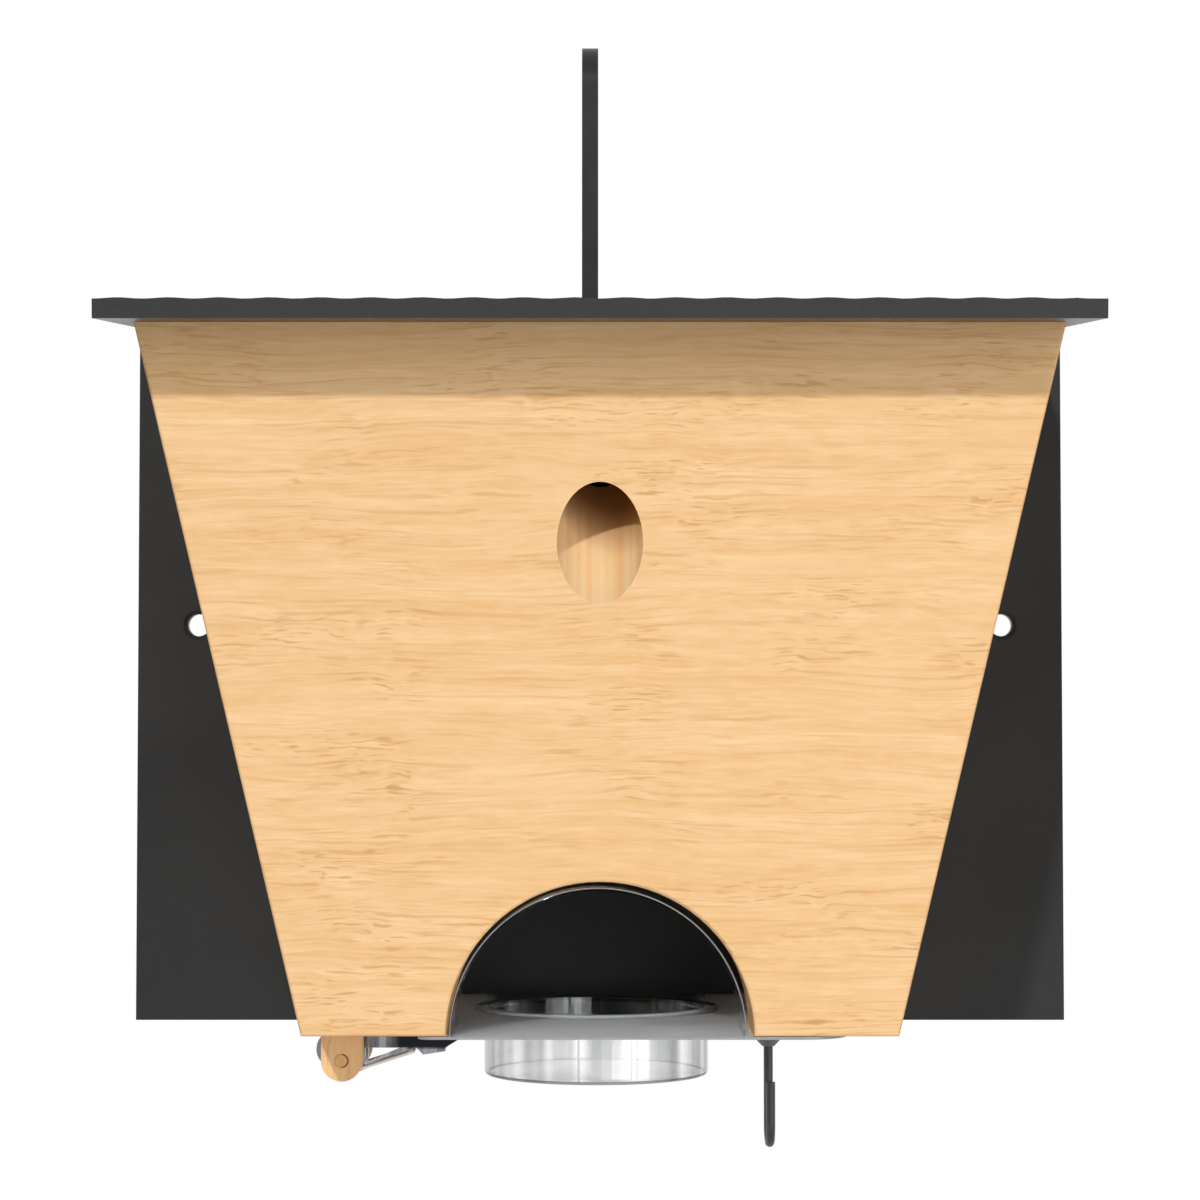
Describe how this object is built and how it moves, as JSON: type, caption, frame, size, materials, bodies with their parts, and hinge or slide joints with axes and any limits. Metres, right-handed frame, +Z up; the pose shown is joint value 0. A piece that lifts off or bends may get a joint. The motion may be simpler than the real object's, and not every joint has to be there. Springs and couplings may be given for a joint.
{
  "type": "carpenter bee trap",
  "caption": "Tapered wooden bee trap on a dark wall plate, with a sloped sheet roof, a slanted entrance bore, a clear sliding catch drawer, a spring latch and a hook.",
  "frame": {"origin": "midway between the two wall-screw holes, on the rear face of the back plate", "axes": "+X to the right of a person who faces the trap, +Y into the wall, +Z up"},
  "size_m": [0.1616, 0.0992, 0.1741],
  "materials": {
    "wood": "planed pale wood with fine horizontal grain",
    "dowel": "turned hardwood",
    "dark_sheet": "satin charcoal sheet",
    "dark_steel": "black powder coat",
    "screw_steel": "zinc plated",
    "lever_steel": "dark polished steel",
    "spring_steel": "bright drawn wire",
    "clear_plastic": "clear polished moulding"
  },
  "bodies": {
    "trap_box": {"front_panel": "wood", "left_side_wall": "wood", "right_side_wall": "wood", "wall_dowels": "dowel", "back_plate": "dark_sheet", "back_screws": "screw_steel", "roof_plate": "dark_sheet", "roof_screws": "dark_steel", "hanger_tab": "dark_steel", "hanger_rivets": "dark_steel", "rear_ledge": "dark_sheet", "ledge_screws": "screw_steel", "cup_hook": "dark_steel", "hook_collar": "dark_steel", "latch_cheek_front": "wood", "latch_cheek_rear": "wood", "latch_pin": "dowel", "latch_spring": "spring_steel"},
    "catch_drawer": {"tray_floor": "clear_plastic", "tray_hood": "clear_plastic", "catch_cup": "clear_plastic"},
    "latch": {"latch_lever": "lever_steel"}
  },
  "joints": [
    {"name": "drawer_slide", "type": "slide", "parent": "trap_box", "child": "catch_drawer", "axis": [0, -1, 0], "range_m": [0, 0.048]},
    {"name": "latch_release", "type": "hinge", "parent": "trap_box", "child": "latch", "pos_m": [-0.04015, -0.05041, -0.06978], "axis": [0, 1, 0], "range_deg": [0, 45], "stiffness_Nm_per_rad": 0.01, "springref_deg": -17.19, "deforming": ["latch_spring"]}
  ]
}
